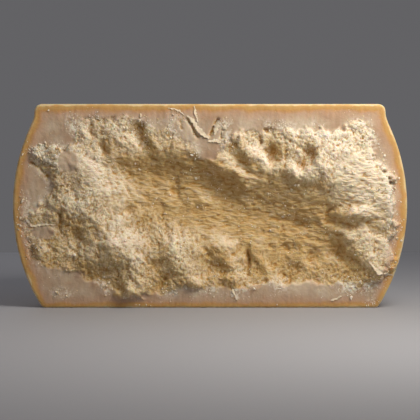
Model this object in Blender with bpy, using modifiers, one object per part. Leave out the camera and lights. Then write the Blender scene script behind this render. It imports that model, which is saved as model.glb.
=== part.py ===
"""Half wheel of grana padano, standing on its flat side with the split face to the front.

Metres, +Z up. The origin is the bottom centre of the piece's bounding box, the split face looks
towards -Y and the round rind, or heel, towards +Y. Sizes and places below are in millimetres: on the
face, x runs to the viewer's right from the wheel's axis and z runs up from the table.
"""

import math

import bmesh
import bpy
import numpy as np

MM = 0.001

# The wheel, before it was split.
WHEEL_HEIGHT = 220.0
BULGE_RADIUS = 212.5
BULGE_HEIGHT = 110.0
LIP_RADIUS = 188.8
LIP_HEIGHT = 15.0
LIP_NECK = 9.0
TOP_CORNER = 9.0
BOTTOM_RADIUS = 181.5
BOTTOM_CORNER = 4.0
HEEL_STEPS = 9
BEND_STEPS = 4
TURN_STEPS = 96

# The split face.
FACE_GRID = 4.1
FACE_OVERHANG = 14.0
CUTTER_REACH = 240.0
EDGE_SOFTNESS = 7.0
EDGE_WANDER = 3.0
FLAT_WITHIN_DEG = 0.4

# Where the knife's smooth cut ends and the broken paste begins, clockwise from the top left.
FRACTURE_EDGE = [
    (-148, 206), (-123, 209), (-88, 209), (-64, 197), (-45, 194), (-27, 181), (-10, 165), (3, 165),
    (13, 173), (20, 189), (56, 197), (97, 195), (140, 195), (148, 204), (168, 201), (175, 183),
    (178, 162), (197, 145), (199, 117), (203, 89), (196, 69), (202, 50), (194, 31), (168, 22),
    (119, 24), (56, 23), (17, 19), (-21, 21), (-66, 12), (-98, 7), (-109, 14), (-117, 28),
    (-132, 28), (-143, 38), (-168, 41), (-187, 47), (-199, 58), (-204, 101), (-180, 115),
    (-172, 132), (-178, 147), (-196, 158), (-189, 174), (-150, 175), (-144, 192),
]

# The edge of the great hollow, clockwise from its top left. Its floor is a tilted plane.
HOLLOW_EDGE = [
    (-131, 181), (-105, 173), (-83, 179), (-62, 177), (-34, 174), (-8, 166), (16, 153), (39, 143),
    (65, 149), (97, 145), (132, 134), (153, 111), (149, 79), (119, 50), (81, 41), (33, 56),
    (-21, 59), (-64, 59), (-94, 63), (-118, 101), (-135, 140),
]
# Its wall is steep at the top and spreads out at both ends.
HOLLOW_WALL_AT = (-120, -65, -15, 15, 60, 110)
HOLLOW_WALL = (55, 38, 36, 30, 60, 80)
HOLLOW_DEEPEST = -19.0
HOLLOW_FLOOR_MIDDLE = (-10, 68)
HOLLOW_FLOOR_HEIGHT = -7.0
HOLLOW_FLOOR_SLOPE = (0.01, -0.13)

# Hollows and lumps: x, z, half length, half width, turn in degrees, height (hollows below zero).
MOUNDS = {
    "left_terrace": (-139, 125, 49, 45, 0, 4.0),
    "upper_left_pit": (-128, 192, 8, 14, 10, -5.0),
    "second_left_pit": (-114, 173, 8, 12, 0, -5.0),
    "hollow_head": (-76, 185, 15, 27, 28, -9.0),
    "floor_blob": (-12, 117, 28, 16, -25, 4.0),
    "floor_notch": (-39, 130, 9, 15, 0, -3.5),
    "floor_dimple": (-88, 107, 10, 9, 0, -3.5),
    "under_second_lip": (33, 158, 22, 11, -45, -6.0),
    "second_lip_pit": (24, 176, 8, 12, -30, -5.0),
    "top_basin": (66, 171, 26, 16, -35, -3.0),
    "top_pit_a": (63, 192, 8, 11, 20, -5.0),
    "top_pit_b": (67, 164, 11, 17, 12, -9.0),
    "top_pit_c": (96, 154, 9, 14, -15, -9.0),
    "top_pit_d": (106, 165, 10, 15, 15, -10.0),
    "top_pit_e": (53, 180, 5, 9, -10, -4.0),
    "smooth_lump": (158, 103, 27, 12, 3, 9.0),
    "lump_left_pit": (130, 96, 8, 10, 0, -5.0),
    "under_lump": (148, 89, 24, 6, -4, -3.0),
    "right_recess": (138, 59, 15, 11, -10, -6.0),
    "right_slit": (111, 57, 11, 11, 10, -5.0),
    "floor_pit_a": (86, 65, 14, 9, 0, -5.0),
    "floor_pit_b": (97, 87, 17, 10, 0, -4.0),
    "low_left_hollow": (-112, 31, 40, 30, 5, -7.0),
    "low_left_lump": (-88, 20, 10, 11, 0, 6.0),
    "low_middle_hollow": (-53, 29, 15, 22, -5, -3.0),
    "low_right_hollow": (6, 42, 19, 15, -25, -5.5),
    "low_slot": (41, 49, 6, 25, 0, -7.5),
    "low_far_hollow": (93, 33, 27, 19, 0, -5.0),
    "right_basin": (44, 58, 90, 56, 0, -6.5),
    "low_far_basin": (70, 47, 45, 30, 0, -4.0),
    "left_pit": (-143, 76, 10, 22, 8, -5.0),
    "left_scoop": (-160, 101, 7, 10, 0, -3.0),
    "left_chunk": (-183, 66, 12, 15, 0, 4.0),
    "left_upper_chunk": (-189, 105, 12, 15, 0, 5.0),
    "left_low_hole": (-195, 60, 6, 9, 0, -4.0),
    "left_dark_hole": (-176, 140, 9, 9, 20, -7.0),
    "left_hollow": (-146, 128, 11, 10, 0, -2.0),
    "corner_pit": (175, 18, 13, 10, 0, -3.0),
}

# Crests: their line, half width to the left of its run, half width to the right, and height.
CRESTS = {
    "right_mass": ([(121, 160), (134, 148), (153, 136), (175, 124), (196, 114)], 43, 32, 13.0),
    "second_mass": ([(151, 74), (164, 61), (179, 44)], 26, 10, 10.0),
    "first_lip": ([(-7, 169), (13, 155), (40, 132)], 9, 6, 4.0),
    "second_lip": ([(18, 184), (34, 172), (49, 163), (67, 153), (93, 146)], 8, 9, 4.5),
    "third_lip": ([(93, 146), (107, 145), (121, 151)], 11, 9, 4.0),
    "left_wall": ([(-158, 177), (-139, 151), (-116, 134), (-90, 123)], 17, 26, 5.0),
    "left_crest": ([(-157, 108), (-135, 101), (-119, 89), (-103, 70)], 15, 14, 6.0),
    "low_left_crest": ([(-112, 67), (-100, 65), (-87, 54), (-79, 26)], 11, 37, 10.0),
    "crumb_row": ([(-193, 165), (-176, 161), (-158, 154)], 11, 6, 3.5),
    "lower_crest": ([(-68, 59), (-45, 58), (-21, 61), (3, 61)], 19, 10, 2.0),
    "low_ridge_b": ([(-40, 63), (-30, 46), (-16, 29)], 10, 16, 7.0),
    "low_ridge_c": ([(15, 65), (21, 48), (23, 35)], 10, 13, 6.0),
    "low_ridge_d": ([(47, 63), (56, 48), (65, 33)], 11, 5, 4.0),
    "far_ridge": ([(95, 61), (97, 36)], 9, 9, 2.0),
    "right_trough": ([(18, 132), (56, 110), (103, 86), (124, 70)], 17, 42, -6.0),
}

# Rounded lumps all over the break: cell size, height and octaves.
CRAG_CELL = 26.0
CRAG_HEIGHT = 1.8
CRAG_OCTAVES = 2

PASTE_COLOUR = (0.68, 0.50, 0.29, 1.0)
PASTE_ROUGHNESS = 0.7


def new_collection(name):
    collection = bpy.data.collections.new(name)
    bpy.context.scene.collection.children.link(collection)
    return collection


def new_object(name, mesh, collection):
    obj = bpy.data.objects.new(name, mesh)
    collection.objects.link(obj)
    return obj


def applied_mesh(obj):
    """The object's mesh with its modifiers applied."""
    depsgraph = bpy.context.evaluated_depsgraph_get()
    return bpy.data.meshes.new_from_object(obj.evaluated_get(depsgraph))


def dice(i, j, seed):
    """A number from 0 to 1 for each whole cell (i, j), the same every time."""
    n = np.sin(i * 127.1 + j * 311.7 + seed * 74.7) * 43758.5453
    return n - np.floor(n)


def noise(x, z, cell, seed):
    """Smooth gradient noise, about -1 to 1, that changes over one cell."""
    x, z = 0.8 * x / cell - 0.6 * z / cell, 0.6 * x / cell + 0.8 * z / cell
    i, j = np.floor(x), np.floor(z)
    u, v = x - i, z - j
    corners = []
    for dj in (0, 1):
        for di in (0, 1):
            turn = math.tau * dice(i + di, j + dj, seed)
            corners.append((u - di) * np.cos(turn) + (v - dj) * np.sin(turn))
    u, v = u * u * u * (u * (u * 6 - 15) + 10), v * v * v * (v * (v * 6 - 15) + 10)
    low = corners[0] + u * (corners[1] - corners[0])
    high = corners[2] + u * (corners[3] - corners[2])
    return 1.6 * (low + v * (high - low))


def lumps(x, z, cell, seed, octaves, keep):
    """Rounded lumps with sharp creases between them, each octave finer and turned; about -1 to 1."""
    total, share = np.zeros(x.shape), 1.0
    for octave in range(octaves):
        total += share * (2.2 * np.abs(noise(x, z, cell, seed + octave)) - 0.75)
        x, z = 0.8 * x + 0.6 * z + 7.0, 0.8 * z - 0.6 * x
        cell, share = cell / 1.9, share * keep
    return total


def oval(x, z, centre_x, centre_z, half_length, half_width, turn_deg):
    """1 at an oval's centre, falling smoothly to 0 at its edge."""
    c, s = math.cos(math.radians(turn_deg)), math.sin(math.radians(turn_deg))
    u = ((x - centre_x) * c + (z - centre_z) * s) / half_length
    v = ((z - centre_z) * c - (x - centre_x) * s) / half_width
    return (1 - np.clip(u * u + v * v, 0, 1)) ** 2


def crest(x, z, line, left_width, right_width, height):
    """A ridge along a line, with its own half width on each side of the line's run."""
    out = np.zeros(x.shape)
    for (ax, az), (bx, bz) in zip(line, line[1:]):
        ex, ez = bx - ax, bz - az
        along = np.clip(((x - ax) * ex + (z - az) * ez) / (ex * ex + ez * ez), 0, 1)
        away = np.hypot(x - ax - along * ex, z - az - along * ez)
        side = ((x - ax) * ez - (z - az) * ex) / math.hypot(ex, ez)
        lean = np.clip(side / np.maximum(away, 0.1), -1, 1)
        width = left_width + (right_width - left_width) * 0.5 * (1 + lean)
        out = np.maximum(out, np.exp(-((away / width) ** 2)))
    return height * out


def distance_inside(x, z, outline):
    """Distance to a closed outline, above zero inside it."""
    away = np.full(x.shape, 1e9)
    inside = np.zeros(x.shape, bool)
    for (ax, az), (bx, bz) in zip(outline, outline[1:] + outline[:1]):
        ex, ez = bx - ax, bz - az
        along = np.clip(((x - ax) * ex + (z - az) * ez) / (ex * ex + ez * ez), 0, 1)
        away = np.minimum(away, np.hypot(x - ax - along * ex, z - az - along * ez))
        if ez:
            inside ^= ((az > z) != (bz > z)) & (x < ex * (z - az) / ez + ax)
    return np.where(inside, away, -away)


def broken_share(x, z):
    """0 on the knife's smooth cut, 1 on the broken paste."""
    wander = EDGE_WANDER * noise(x, z, 14.0, 3)
    share = np.clip((distance_inside(x, z, FRACTURE_EDGE) + wander) / EDGE_SOFTNESS, 0, 1)
    return share * share * (3 - 2 * share)


def great_hollow(x, z):
    """The large hollow: its wall, and a floor that rises towards the bottom."""
    width = np.interp(x, HOLLOW_WALL_AT, HOLLOW_WALL)
    wall = np.clip(distance_inside(x, z, HOLLOW_EDGE) / width, 0, 1)
    across, up = x - HOLLOW_FLOOR_MIDDLE[0], z - HOLLOW_FLOOR_MIDDLE[1]
    floor = HOLLOW_FLOOR_HEIGHT + HOLLOW_FLOOR_SLOPE[0] * across + HOLLOW_FLOOR_SLOPE[1] * up
    return wall * wall * (3 - 2 * wall) * np.clip(floor, HOLLOW_DEEPEST, 0)


def face_relief(x, z):
    """How far the split face stands out towards the viewer from the knife's cut."""
    wx = x + 2.5 * noise(x, z, 30.0, 61)
    wz = z + 2.5 * noise(x, z, 30.0, 63)
    height = great_hollow(wx, wz)
    for *place, rise in MOUNDS.values():
        height += rise * oval(wx, wz, *place)
    for sizes in CRESTS.values():
        height += crest(wx, wz, *sizes)
    height += CRAG_HEIGHT * lumps(wx, wz, CRAG_CELL, 11, CRAG_OCTAVES, 0.6)
    return height * broken_share(x, z)


def heel_arc(z_from, z_to, edge_radius):
    """Points of an arc that is upright at the bulge and meets edge_radius at z_to."""
    rise = z_to - z_from
    drop = BULGE_RADIUS - edge_radius
    radius = (rise * rise + drop * drop) / (2 * drop)
    sweep = math.asin(abs(rise) / radius)
    points = []
    for step in range(HEEL_STEPS + 1):
        angle = sweep * step / HEEL_STEPS
        inset = radius * (1 - math.cos(angle))
        points.append((BULGE_RADIUS - inset, z_from + math.copysign(radius * math.sin(angle), rise)))
    return points


def bend(start, corner, end):
    """Points of a smooth bend between start and end, round the inside of a corner."""
    points = []
    for step in range(BEND_STEPS + 1):
        t = step / BEND_STEPS
        points.append(tuple(
            (1 - t) ** 2 * a + 2 * t * (1 - t) * b + t * t * c for a, b, c in zip(start, corner, end)
        ))
    return points


def heel_profile():
    """The wheel's round side from the table up to its top rim, as (radius, z)."""
    lower = [p for p in heel_arc(BULGE_HEIGHT, 0.0, BOTTOM_RADIUS)[::-1] if p[1] > BOTTOM_CORNER]
    bottom = bend((BOTTOM_RADIUS - BOTTOM_CORNER, 0.0), (BOTTOM_RADIUS, 0.0), lower[0])
    lip_foot = WHEEL_HEIGHT - LIP_HEIGHT
    upper = [p for p in heel_arc(BULGE_HEIGHT, lip_foot, LIP_RADIUS)[1:] if p[1] < lip_foot - LIP_NECK]
    shoulder = (LIP_RADIUS, WHEEL_HEIGHT - TOP_CORNER)
    neck = bend(upper[-1], (LIP_RADIUS, lip_foot), shoulder)
    top = bend(shoulder, (LIP_RADIUS, WHEEL_HEIGHT), (LIP_RADIUS - TOP_CORNER, WHEEL_HEIGHT))
    return bottom + lower[1:] + upper[:-1] + neck[:-1] + top


def make_wheel(collection):
    """The whole wheel: the heel is turned from its profile, then both flat sides are closed."""
    profile = heel_profile()
    mesh = bpy.data.meshes.new("heel_profile")
    vertices = [(radius * MM, 0.0, z * MM) for radius, z in profile]
    mesh.from_pydata(vertices, [(i, i + 1) for i in range(len(vertices) - 1)], [])
    profile_object = new_object("heel_profile", mesh, collection)
    screw = profile_object.modifiers.new("turn", "SCREW")
    screw.axis = "Z"
    screw.angle = math.tau
    screw.steps = TURN_STEPS
    screw.render_steps = TURN_STEPS
    screw.use_merge_vertices = True
    screw.merge_threshold = 0.00001
    turned = applied_mesh(profile_object)
    bpy.data.objects.remove(profile_object)

    bm = bmesh.new()
    bm.from_mesh(turned)
    bmesh.ops.holes_fill(bm, edges=bm.edges, sides=0)
    bmesh.ops.recalc_face_normals(bm, faces=bm.faces)
    bm.to_mesh(turned)
    bm.free()
    return new_object("grana_padano_half_wheel", turned, collection)


def make_split_cutter(collection):
    """A block in front of the wheel whose back is the broken face."""
    half_width = BULGE_RADIUS + FACE_OVERHANG
    low, high = -FACE_OVERHANG, WHEEL_HEIGHT + FACE_OVERHANG
    columns = round(2 * half_width / FACE_GRID)
    rows = round((high - low) / FACE_GRID)
    bm = bmesh.new()
    bmesh.ops.create_grid(bm, x_segments=columns, y_segments=rows, size=1.0)
    across = np.array([v.co.x for v in bm.verts]) * half_width
    up = low + (np.array([v.co.y for v in bm.verts]) + 1) / 2 * (high - low)
    relief = face_relief(across, up)
    for vertex, x, z, height in zip(bm.verts, across, up, relief):
        vertex.co = (x * MM, -height * MM, z * MM)
    sheet = list(bm.faces)
    front = bmesh.ops.extrude_face_region(bm, geom=sheet, use_keep_orig=True)["geom"]
    for vertex in (element for element in front if isinstance(element, bmesh.types.BMVert)):
        vertex.co.y = -CUTTER_REACH * MM
    bmesh.ops.recalc_face_normals(bm, faces=bm.faces)
    mesh = bpy.data.meshes.new("split_cutter")
    bm.to_mesh(mesh)
    bm.free()
    cutter = new_object("split_cutter", mesh, collection)
    cutter.hide_render = True
    cutter.display_type = "WIRE"
    return cutter


def split(wheel, cutter):
    """Takes the front half off the wheel, and keeps the back half with its broken face."""
    cut = wheel.modifiers.new("split", "BOOLEAN")
    cut.operation = "DIFFERENCE"
    cut.solver = "EXACT"
    cut.object = cutter
    mesh = applied_mesh(wheel)
    wheel.modifiers.clear()
    wheel.data = mesh
    bpy.data.objects.remove(cutter)


def merge_flat_faces(mesh):
    """Joins the small faces of the flat knife cut and the flat sides into large ones."""
    bm = bmesh.new()
    bm.from_mesh(mesh)
    bmesh.ops.dissolve_limit(
        bm, angle_limit=math.radians(FLAT_WITHIN_DEG), verts=bm.verts, edges=bm.edges
    )
    bmesh.ops.triangulate(bm, faces=bm.faces)
    bm.to_mesh(mesh)
    bm.free()


def centre_on_base(mesh):
    """Moves the mesh so that the origin is the bottom centre of its bounding box."""
    points = np.array([v.co for v in mesh.vertices])
    low, high = points.min(axis=0), points.max(axis=0)
    shift = -(low + high) / 2
    shift[2] = -low[2]
    for vertex in mesh.vertices:
        vertex.co = vertex.co + type(vertex.co)(shift)


def paste_material():
    material = bpy.data.materials.new("pale_straw_cheese_paste")
    material.use_nodes = True
    shader = material.node_tree.nodes["Principled BSDF"]
    shader.inputs["Base Color"].default_value = PASTE_COLOUR
    shader.inputs["Roughness"].default_value = PASTE_ROUGHNESS
    shader.inputs["Metallic"].default_value = 0.0
    return material


def main():
    for obj in list(bpy.data.objects):
        bpy.data.objects.remove(obj)
    parts = new_collection("grana_padano_half_wheel")
    cutters = new_collection("cutters")
    wheel = make_wheel(parts)
    split(wheel, make_split_cutter(cutters))
    merge_flat_faces(wheel.data)
    centre_on_base(wheel.data)
    wheel.data.materials.clear()
    wheel.data.materials.append(paste_material())
    wheel.data.shade_smooth()
    wheel.data.set_sharp_from_angle(angle=math.radians(35))


main()
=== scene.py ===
"""Half wheel of grana padano: its looks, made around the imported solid.

The broken face, the scored rim and the rind are one closed mesh that stands for the solid. Crumbs,
chips and knife shavings are meshes of their own on the face. On the face, x runs to the viewer's right
from the wheel's axis and z runs up from its foot, both in millimetres until MM turns them to metres.
"""

import math

import bmesh
import bpy
import numpy as np
from bpy.props import FloatProperty, FloatVectorProperty, IntProperty, PointerProperty
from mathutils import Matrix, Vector
from mathutils.geometry import delaunay_2d_cdt


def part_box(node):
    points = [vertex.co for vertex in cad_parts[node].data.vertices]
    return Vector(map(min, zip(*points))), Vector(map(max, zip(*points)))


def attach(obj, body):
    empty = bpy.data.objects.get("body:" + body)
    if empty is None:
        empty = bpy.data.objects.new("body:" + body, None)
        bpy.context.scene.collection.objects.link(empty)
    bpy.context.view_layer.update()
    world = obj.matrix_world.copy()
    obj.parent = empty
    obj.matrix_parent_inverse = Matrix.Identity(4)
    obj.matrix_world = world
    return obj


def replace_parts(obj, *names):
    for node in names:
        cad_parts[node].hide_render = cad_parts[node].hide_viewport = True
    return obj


bl_info = {
    "name": "Grana padano half wheel",
    "version": (1, 0, 0),
    "blender": (4, 5, 0),
    "location": "3D View > Sidebar > Cheese",
    "description": "Builds a half wheel of hard cheese with a crumbly broken face",
    "category": "Add Mesh",
}

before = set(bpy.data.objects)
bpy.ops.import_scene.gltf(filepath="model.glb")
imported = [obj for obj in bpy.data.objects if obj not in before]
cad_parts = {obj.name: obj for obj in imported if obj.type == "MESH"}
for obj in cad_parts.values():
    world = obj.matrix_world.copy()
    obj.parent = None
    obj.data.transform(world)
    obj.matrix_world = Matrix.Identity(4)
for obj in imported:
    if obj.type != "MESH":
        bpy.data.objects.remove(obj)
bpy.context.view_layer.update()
NODE = "grana_padano_half_wheel"
LOW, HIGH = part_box(NODE)
MM = 0.001

# The wheel, in millimetres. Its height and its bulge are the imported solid's own.
WHEEL_HEIGHT = (HIGH.z - LOW.z) / MM
BULGE_RADIUS = (HIGH.x - LOW.x) / 2 / MM
BULGE_HEIGHT = 110.0
LIP_RADIUS = 188.8
LIP_HEIGHT = 15.0
LIP_NECK = 9.0
TOP_CORNER = 9.0
BOTTOM_RADIUS = 181.5
BOTTOM_CORNER = 4.0
HEEL_STEPS = 24
BEND_STEPS = 6
AXIS_Y = HIGH.y / MM - BULGE_RADIUS

# Where the knife's smooth cut ends and the broken paste begins, clockwise from the top left.
FRACTURE_EDGE = [
    (-148, 206), (-123, 209), (-88, 209), (-64, 197), (-45, 194), (-27, 181), (-10, 165), (3, 165),
    (13, 173), (20, 189), (56, 197), (97, 195), (140, 195), (148, 204), (168, 201), (175, 183),
    (178, 162), (197, 145), (199, 117), (203, 89), (196, 69), (202, 50), (194, 31), (168, 22),
    (119, 24), (56, 23), (17, 19), (-21, 21), (-66, 12), (-98, 7), (-109, 14), (-117, 28),
    (-132, 28), (-143, 38), (-168, 41), (-187, 47), (-199, 58), (-204, 101), (-180, 115),
    (-172, 132), (-178, 147), (-196, 158), (-189, 174), (-150, 175), (-144, 192),
]

# The edge of the great hollow, clockwise from its top left. Its floor is a tilted plane.
HOLLOW_EDGE = [
    (-131, 181), (-105, 173), (-83, 179), (-62, 177), (-34, 174), (-8, 166), (16, 153), (39, 143),
    (65, 149), (97, 145), (132, 134), (153, 111), (149, 79), (119, 50), (81, 41), (33, 56),
    (-21, 59), (-64, 59), (-94, 63), (-118, 101), (-135, 140),
]
# Its wall is steep at the top and spreads out at both ends.
HOLLOW_WALL_AT = (-120, -65, -15, 15, 60, 110)
HOLLOW_WALL = (55, 38, 36, 30, 60, 80)
HOLLOW_DEEPEST = -19.0
HOLLOW_FLOOR_MIDDLE = (-10, 68)
HOLLOW_FLOOR_HEIGHT = -7.0
HOLLOW_FLOOR_SLOPE = (0.01, -0.13)

# Hollows and lumps: x, z, half length, half width, turn in degrees, height (hollows below zero).
MOUNDS = {
    "left_terrace": (-139, 125, 49, 45, 0, 4.0),
    "upper_left_pit": (-128, 192, 8, 14, 10, -5.0),
    "second_left_pit": (-114, 173, 8, 12, 0, -5.0),
    "hollow_head": (-76, 185, 15, 27, 28, -9.0),
    "floor_blob": (-12, 117, 28, 16, -25, 4.0),
    "floor_notch": (-39, 130, 9, 15, 0, -3.5),
    "floor_dimple": (-88, 107, 10, 9, 0, -3.5),
    "under_second_lip": (33, 158, 22, 11, -45, -6.0),
    "second_lip_pit": (24, 176, 8, 12, -30, -5.0),
    "top_basin": (66, 171, 26, 16, -35, -3.0),
    "top_pit_a": (63, 192, 8, 11, 20, -5.0),
    "top_pit_b": (67, 164, 11, 17, 12, -9.0),
    "top_pit_c": (96, 154, 9, 14, -15, -9.0),
    "top_pit_d": (106, 165, 10, 15, 15, -10.0),
    "top_pit_e": (53, 180, 5, 9, -10, -4.0),
    "smooth_lump": (158, 103, 27, 12, 3, 9.0),
    "lump_left_pit": (130, 96, 8, 10, 0, -5.0),
    "under_lump": (148, 89, 24, 6, -4, -3.0),
    "right_recess": (138, 59, 15, 11, -10, -6.0),
    "right_slit": (111, 57, 11, 11, 10, -5.0),
    "floor_pit_a": (86, 65, 14, 9, 0, -5.0),
    "floor_pit_b": (97, 87, 17, 10, 0, -4.0),
    "low_left_hollow": (-112, 31, 40, 30, 5, -7.0),
    "low_left_lump": (-88, 20, 10, 11, 0, 6.0),
    "low_middle_hollow": (-53, 29, 15, 22, -5, -3.0),
    "low_right_hollow": (6, 42, 19, 15, -25, -5.5),
    "low_slot": (41, 49, 6, 25, 0, -7.5),
    "low_far_hollow": (93, 33, 27, 19, 0, -5.0),
    "right_basin": (44, 58, 90, 56, 0, -6.5),
    "low_far_basin": (70, 47, 45, 30, 0, -4.0),
    "left_pit": (-143, 76, 10, 22, 8, -5.0),
    "left_scoop": (-160, 101, 7, 10, 0, -3.0),
    "left_chunk": (-183, 66, 12, 15, 0, 4.0),
    "left_upper_chunk": (-189, 105, 12, 15, 0, 5.0),
    "left_low_hole": (-195, 60, 6, 9, 0, -4.0),
    "left_dark_hole": (-176, 140, 9, 9, 20, -7.0),
    "left_hollow": (-146, 128, 11, 10, 0, -2.0),
    "corner_pit": (175, 18, 13, 10, 0, -3.0),
}

# Crests: their line, half width to the left of its run, half width to the right, and height.
CRESTS = {
    "right_mass": ([(121, 160), (134, 148), (153, 136), (175, 124), (196, 114)], 43, 32, 13.0),
    "second_mass": ([(151, 74), (164, 61), (179, 44)], 26, 10, 10.0),
    "first_lip": ([(-7, 169), (13, 155), (40, 132)], 9, 6, 4.0),
    "second_lip": ([(18, 184), (34, 172), (49, 163), (67, 153), (93, 146)], 8, 9, 4.5),
    "third_lip": ([(93, 146), (107, 145), (121, 151)], 11, 9, 4.0),
    "left_wall": ([(-158, 177), (-139, 151), (-116, 134), (-90, 123)], 17, 26, 5.0),
    "left_crest": ([(-157, 108), (-135, 101), (-119, 89), (-103, 70)], 15, 14, 6.0),
    "low_left_crest": ([(-112, 67), (-100, 65), (-87, 54), (-79, 26)], 11, 37, 10.0),
    "crumb_row": ([(-193, 165), (-176, 161), (-158, 154)], 11, 6, 3.5),
    "lower_crest": ([(-68, 59), (-45, 58), (-21, 61), (3, 61)], 19, 10, 2.0),
    "low_ridge_b": ([(-40, 63), (-30, 46), (-16, 29)], 10, 16, 7.0),
    "low_ridge_c": ([(15, 65), (21, 48), (23, 35)], 10, 13, 6.0),
    "low_ridge_d": ([(47, 63), (56, 48), (65, 33)], 11, 5, 4.0),
    "far_ridge": ([(95, 61), (97, 36)], 9, 9, 2.0),
    "right_trough": ([(18, 132), (56, 110), (103, 86), (124, 70)], 17, 42, -6.0),
}

# Places where the break runs in streaks: x, z, half length, half width, turn, grain direction.
STREAKS = {
    "hollow_floor": (34, 112, 175, 62, -17, -9),
    "left_slope": (-98, 138, 60, 34, -35, -38),
    "right_layers": (166, 128, 44, 56, 0, -8),
}

# Patches of the smooth cut left standing inside the break: x, z, half length, half width, turn.
CUT_ISLANDS = {"left_island": (-153, 159, 15, 16, 20), "low_left_island": (-180, 82, 16, 9, 0)}

# Slits and scores: their line, half width and depth.
SCORES = {
    "slit": ([(8, 203), (3, 194), (0, 187)], 1.9, 4.0),
    "slit_end": ([(14, 192), (12, 184)], 1.8, 3.0),
    "under_long_curl": ([(-24, 203), (-19, 196), (-17, 190), (-13, 185)], 1.9, 2.5),
    "left_score": ([(-193, 158), (-183, 152), (-175, 142)], 2.2, 2.5),
    "upper_score": ([(-32, 201), (-30, 193)], 1.3, 1.0),
}

# Thin shavings that the knife lifted: their line, width and how far the edge stands up.
SHAVINGS = {
    "long_curl": ([(-24, 208), (-18, 201), (-12, 192), (-7, 187), (-1, 183)], 4.4, 1.6),
    "rim_curl": ([(-17, 218), (-16, 210), (-13, 201)], 2.2, 0.6),
    "left_rim_curl": ([(-45, 216), (-33, 213), (-28, 208)], 1.7, 0.5),
    "right_curl": ([(9, 203), (7, 195), (5, 187)], 5.0, 1.0),
    "right_edge": ([(16, 198), (15, 190), (14, 184)], 4.0, 0.8),
    "foot": ([(-2, 180), (4, 181), (12, 179)], 3.4, 1.0),
    "left_flap": ([(-200, 98), (-192, 88), (-181, 91), (-166, 90)], 2.6, 0.8),
    "low_right_flap": ([(171, 51), (181, 39), (197, 36)], 3.6, 1.2),
    "bottom_flap": ([(130, 8), (136, 10), (142, 13)], 2.0, 0.6),
    "bottom_crumb_edge": ([(24, 21), (27, 14), (30, 8)], 2.4, 0.8),
}

# Places with many loose crumbs: x, z, half length, half width, turn; and how many.
CRUMB_SPOTS = {
    "crumb_row": ((-177, 165, 25, 13, -12), 9.0),
    "left_rind": ((-199, 100, 11, 34, 3), 2.0),
    "low_left_rind": ((-192, 72, 12, 22, 20), 1.2),
    "upper_left": ((-144, 196, 14, 22, 20), 1.0),
    "top_left_edge": ((-90, 192, 40, 12, 10), 0.8),
    "above_curl": ((-34, 205, 18, 9, -20), 0.9),
    "beside_curl": ((15, 199, 13, 9, 0), 0.9),
    "top_right": ((168, 188, 14, 24, 20), 1.4),
    "right_rind": ((197, 95, 9, 40, 0), 1.3),
    "bottom_left": ((-160, 16, 20, 10, -5), 0.8),
    "island_edge": ((-155, 163, 22, 20, 20), 1.2),
    "bottom_crumbs": ((27, 14, 7, 10, 0), 1.6),
    "corner_crumbs": ((174, 6, 10, 8, 0), 1.4),
    "bottom_right": ((160, 24, 40, 14, -10), 0.9),
}

# Sizes of the patterns in the materials and on the crumbs.
PASTE_GRAIN = 3.3
PASTE_FIBRE = 2.5
PASTE_PATCH = 22.0
CRUMB_PATCH = 6.2
CRUMB_NOTCH = 1.4
RIND_RING_WANDER = 17.0
RIND_CLOUD = 90.0
RIND_MOTTLE = 6.0
RIND_RUBBED_LINE = 4.0
RIND_SPECK = 1.6

# How finely the mesh is divided: across the face, up it, round the heel, and on the flat sides.
FACE_COLUMNS = 384
FACE_ROWS = 206
HEEL_COLUMNS = 60
FLAT_SPACING = 9.0

# How soft and uneven the forms are. The cut leans back at its foot, and hollows and crests wander.
HEEL_DENTS = 0.7
RIM_ROUNDING = 2.2
FOOT_HEIGHT = 24.0
FOOT_LEAN = 2.0
EDGE_SOFTNESS = 5.0
EDGE_WANDER = 4.5
BROAD_WANDER = 2.5
FINE_WANDER = 2.6
GRAIN_WANDER = 1.2

# No crumbs lie this near the outline. A slit looks this torn along its middle, where 1 is fully torn.
BARE_RIM = 2.0
TORN_SLIT = 1.5

# Strips that make one shaving, along it and across it, how deep its foot is sunk in the face, and how
# much thicker its lifted edge is.
SHAVING_STEPS = 36
SHAVING_STRIPS = 5
SHAVING_SUNK = 0.5
SHAVING_EDGE = 0.4

# Width of the face's plane that fills the picture, the height that the camera aims at, and its sensor.
PICTURE_WIDTH = 451.92
AIM_HEIGHT = 106.0
SENSOR_WIDTH = 36.0

# Lights: direction from the face, distance and size in metres, share of the key's power, and colour.
LIGHTS = {
    "key": ((0.50, -0.52, 0.70), 0.7, 0.38, 1.0, "#FFF8EE"),
    "fill": ((-0.8, -0.7, 0.9), 0.9, 0.9, 0.1, "#FFE6CC"),
    "back": ((-0.35, 0.75, 0.75), 1.6, 1.2, 0.6, "#F4F6FF"),
}

# A Mix node's inputs and outputs go by number, because it has several of each name.
FACTOR, NUMBER_A, NUMBER_B, COLOUR_A, COLOUR_B = 0, 2, 3, 6, 7
MIXED_NUMBER, MIXED_COLOUR = 0, 2


def linear(hex_colour):
    """An sRGB hex colour as linear RGBA."""
    channels = [int(hex_colour[i : i + 2], 16) / 255 for i in (1, 3, 5)]
    return tuple(c / 12.92 if c <= 0.04045 else ((c + 0.055) / 1.055) ** 2.4 for c in channels) + (1.0,)


def per_metre(size_mm):
    """How many times a pattern of this size fits in a metre, as a texture's scale."""
    return 1 / (size_mm * MM)


def add_node(tree, kind, inputs=None, **settings):
    """Adds a node, sets its properties, sets or links its inputs, and returns its outputs."""
    node = tree.nodes.new(kind)
    for name, value in settings.items():
        setattr(node, name, value)
    for key, value in (inputs or {}).items():
        if isinstance(value, bpy.types.NodeSocket):
            tree.links.new(value, node.inputs[key])
        else:
            node.inputs[key].default_value = value
    return node.outputs


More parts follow.
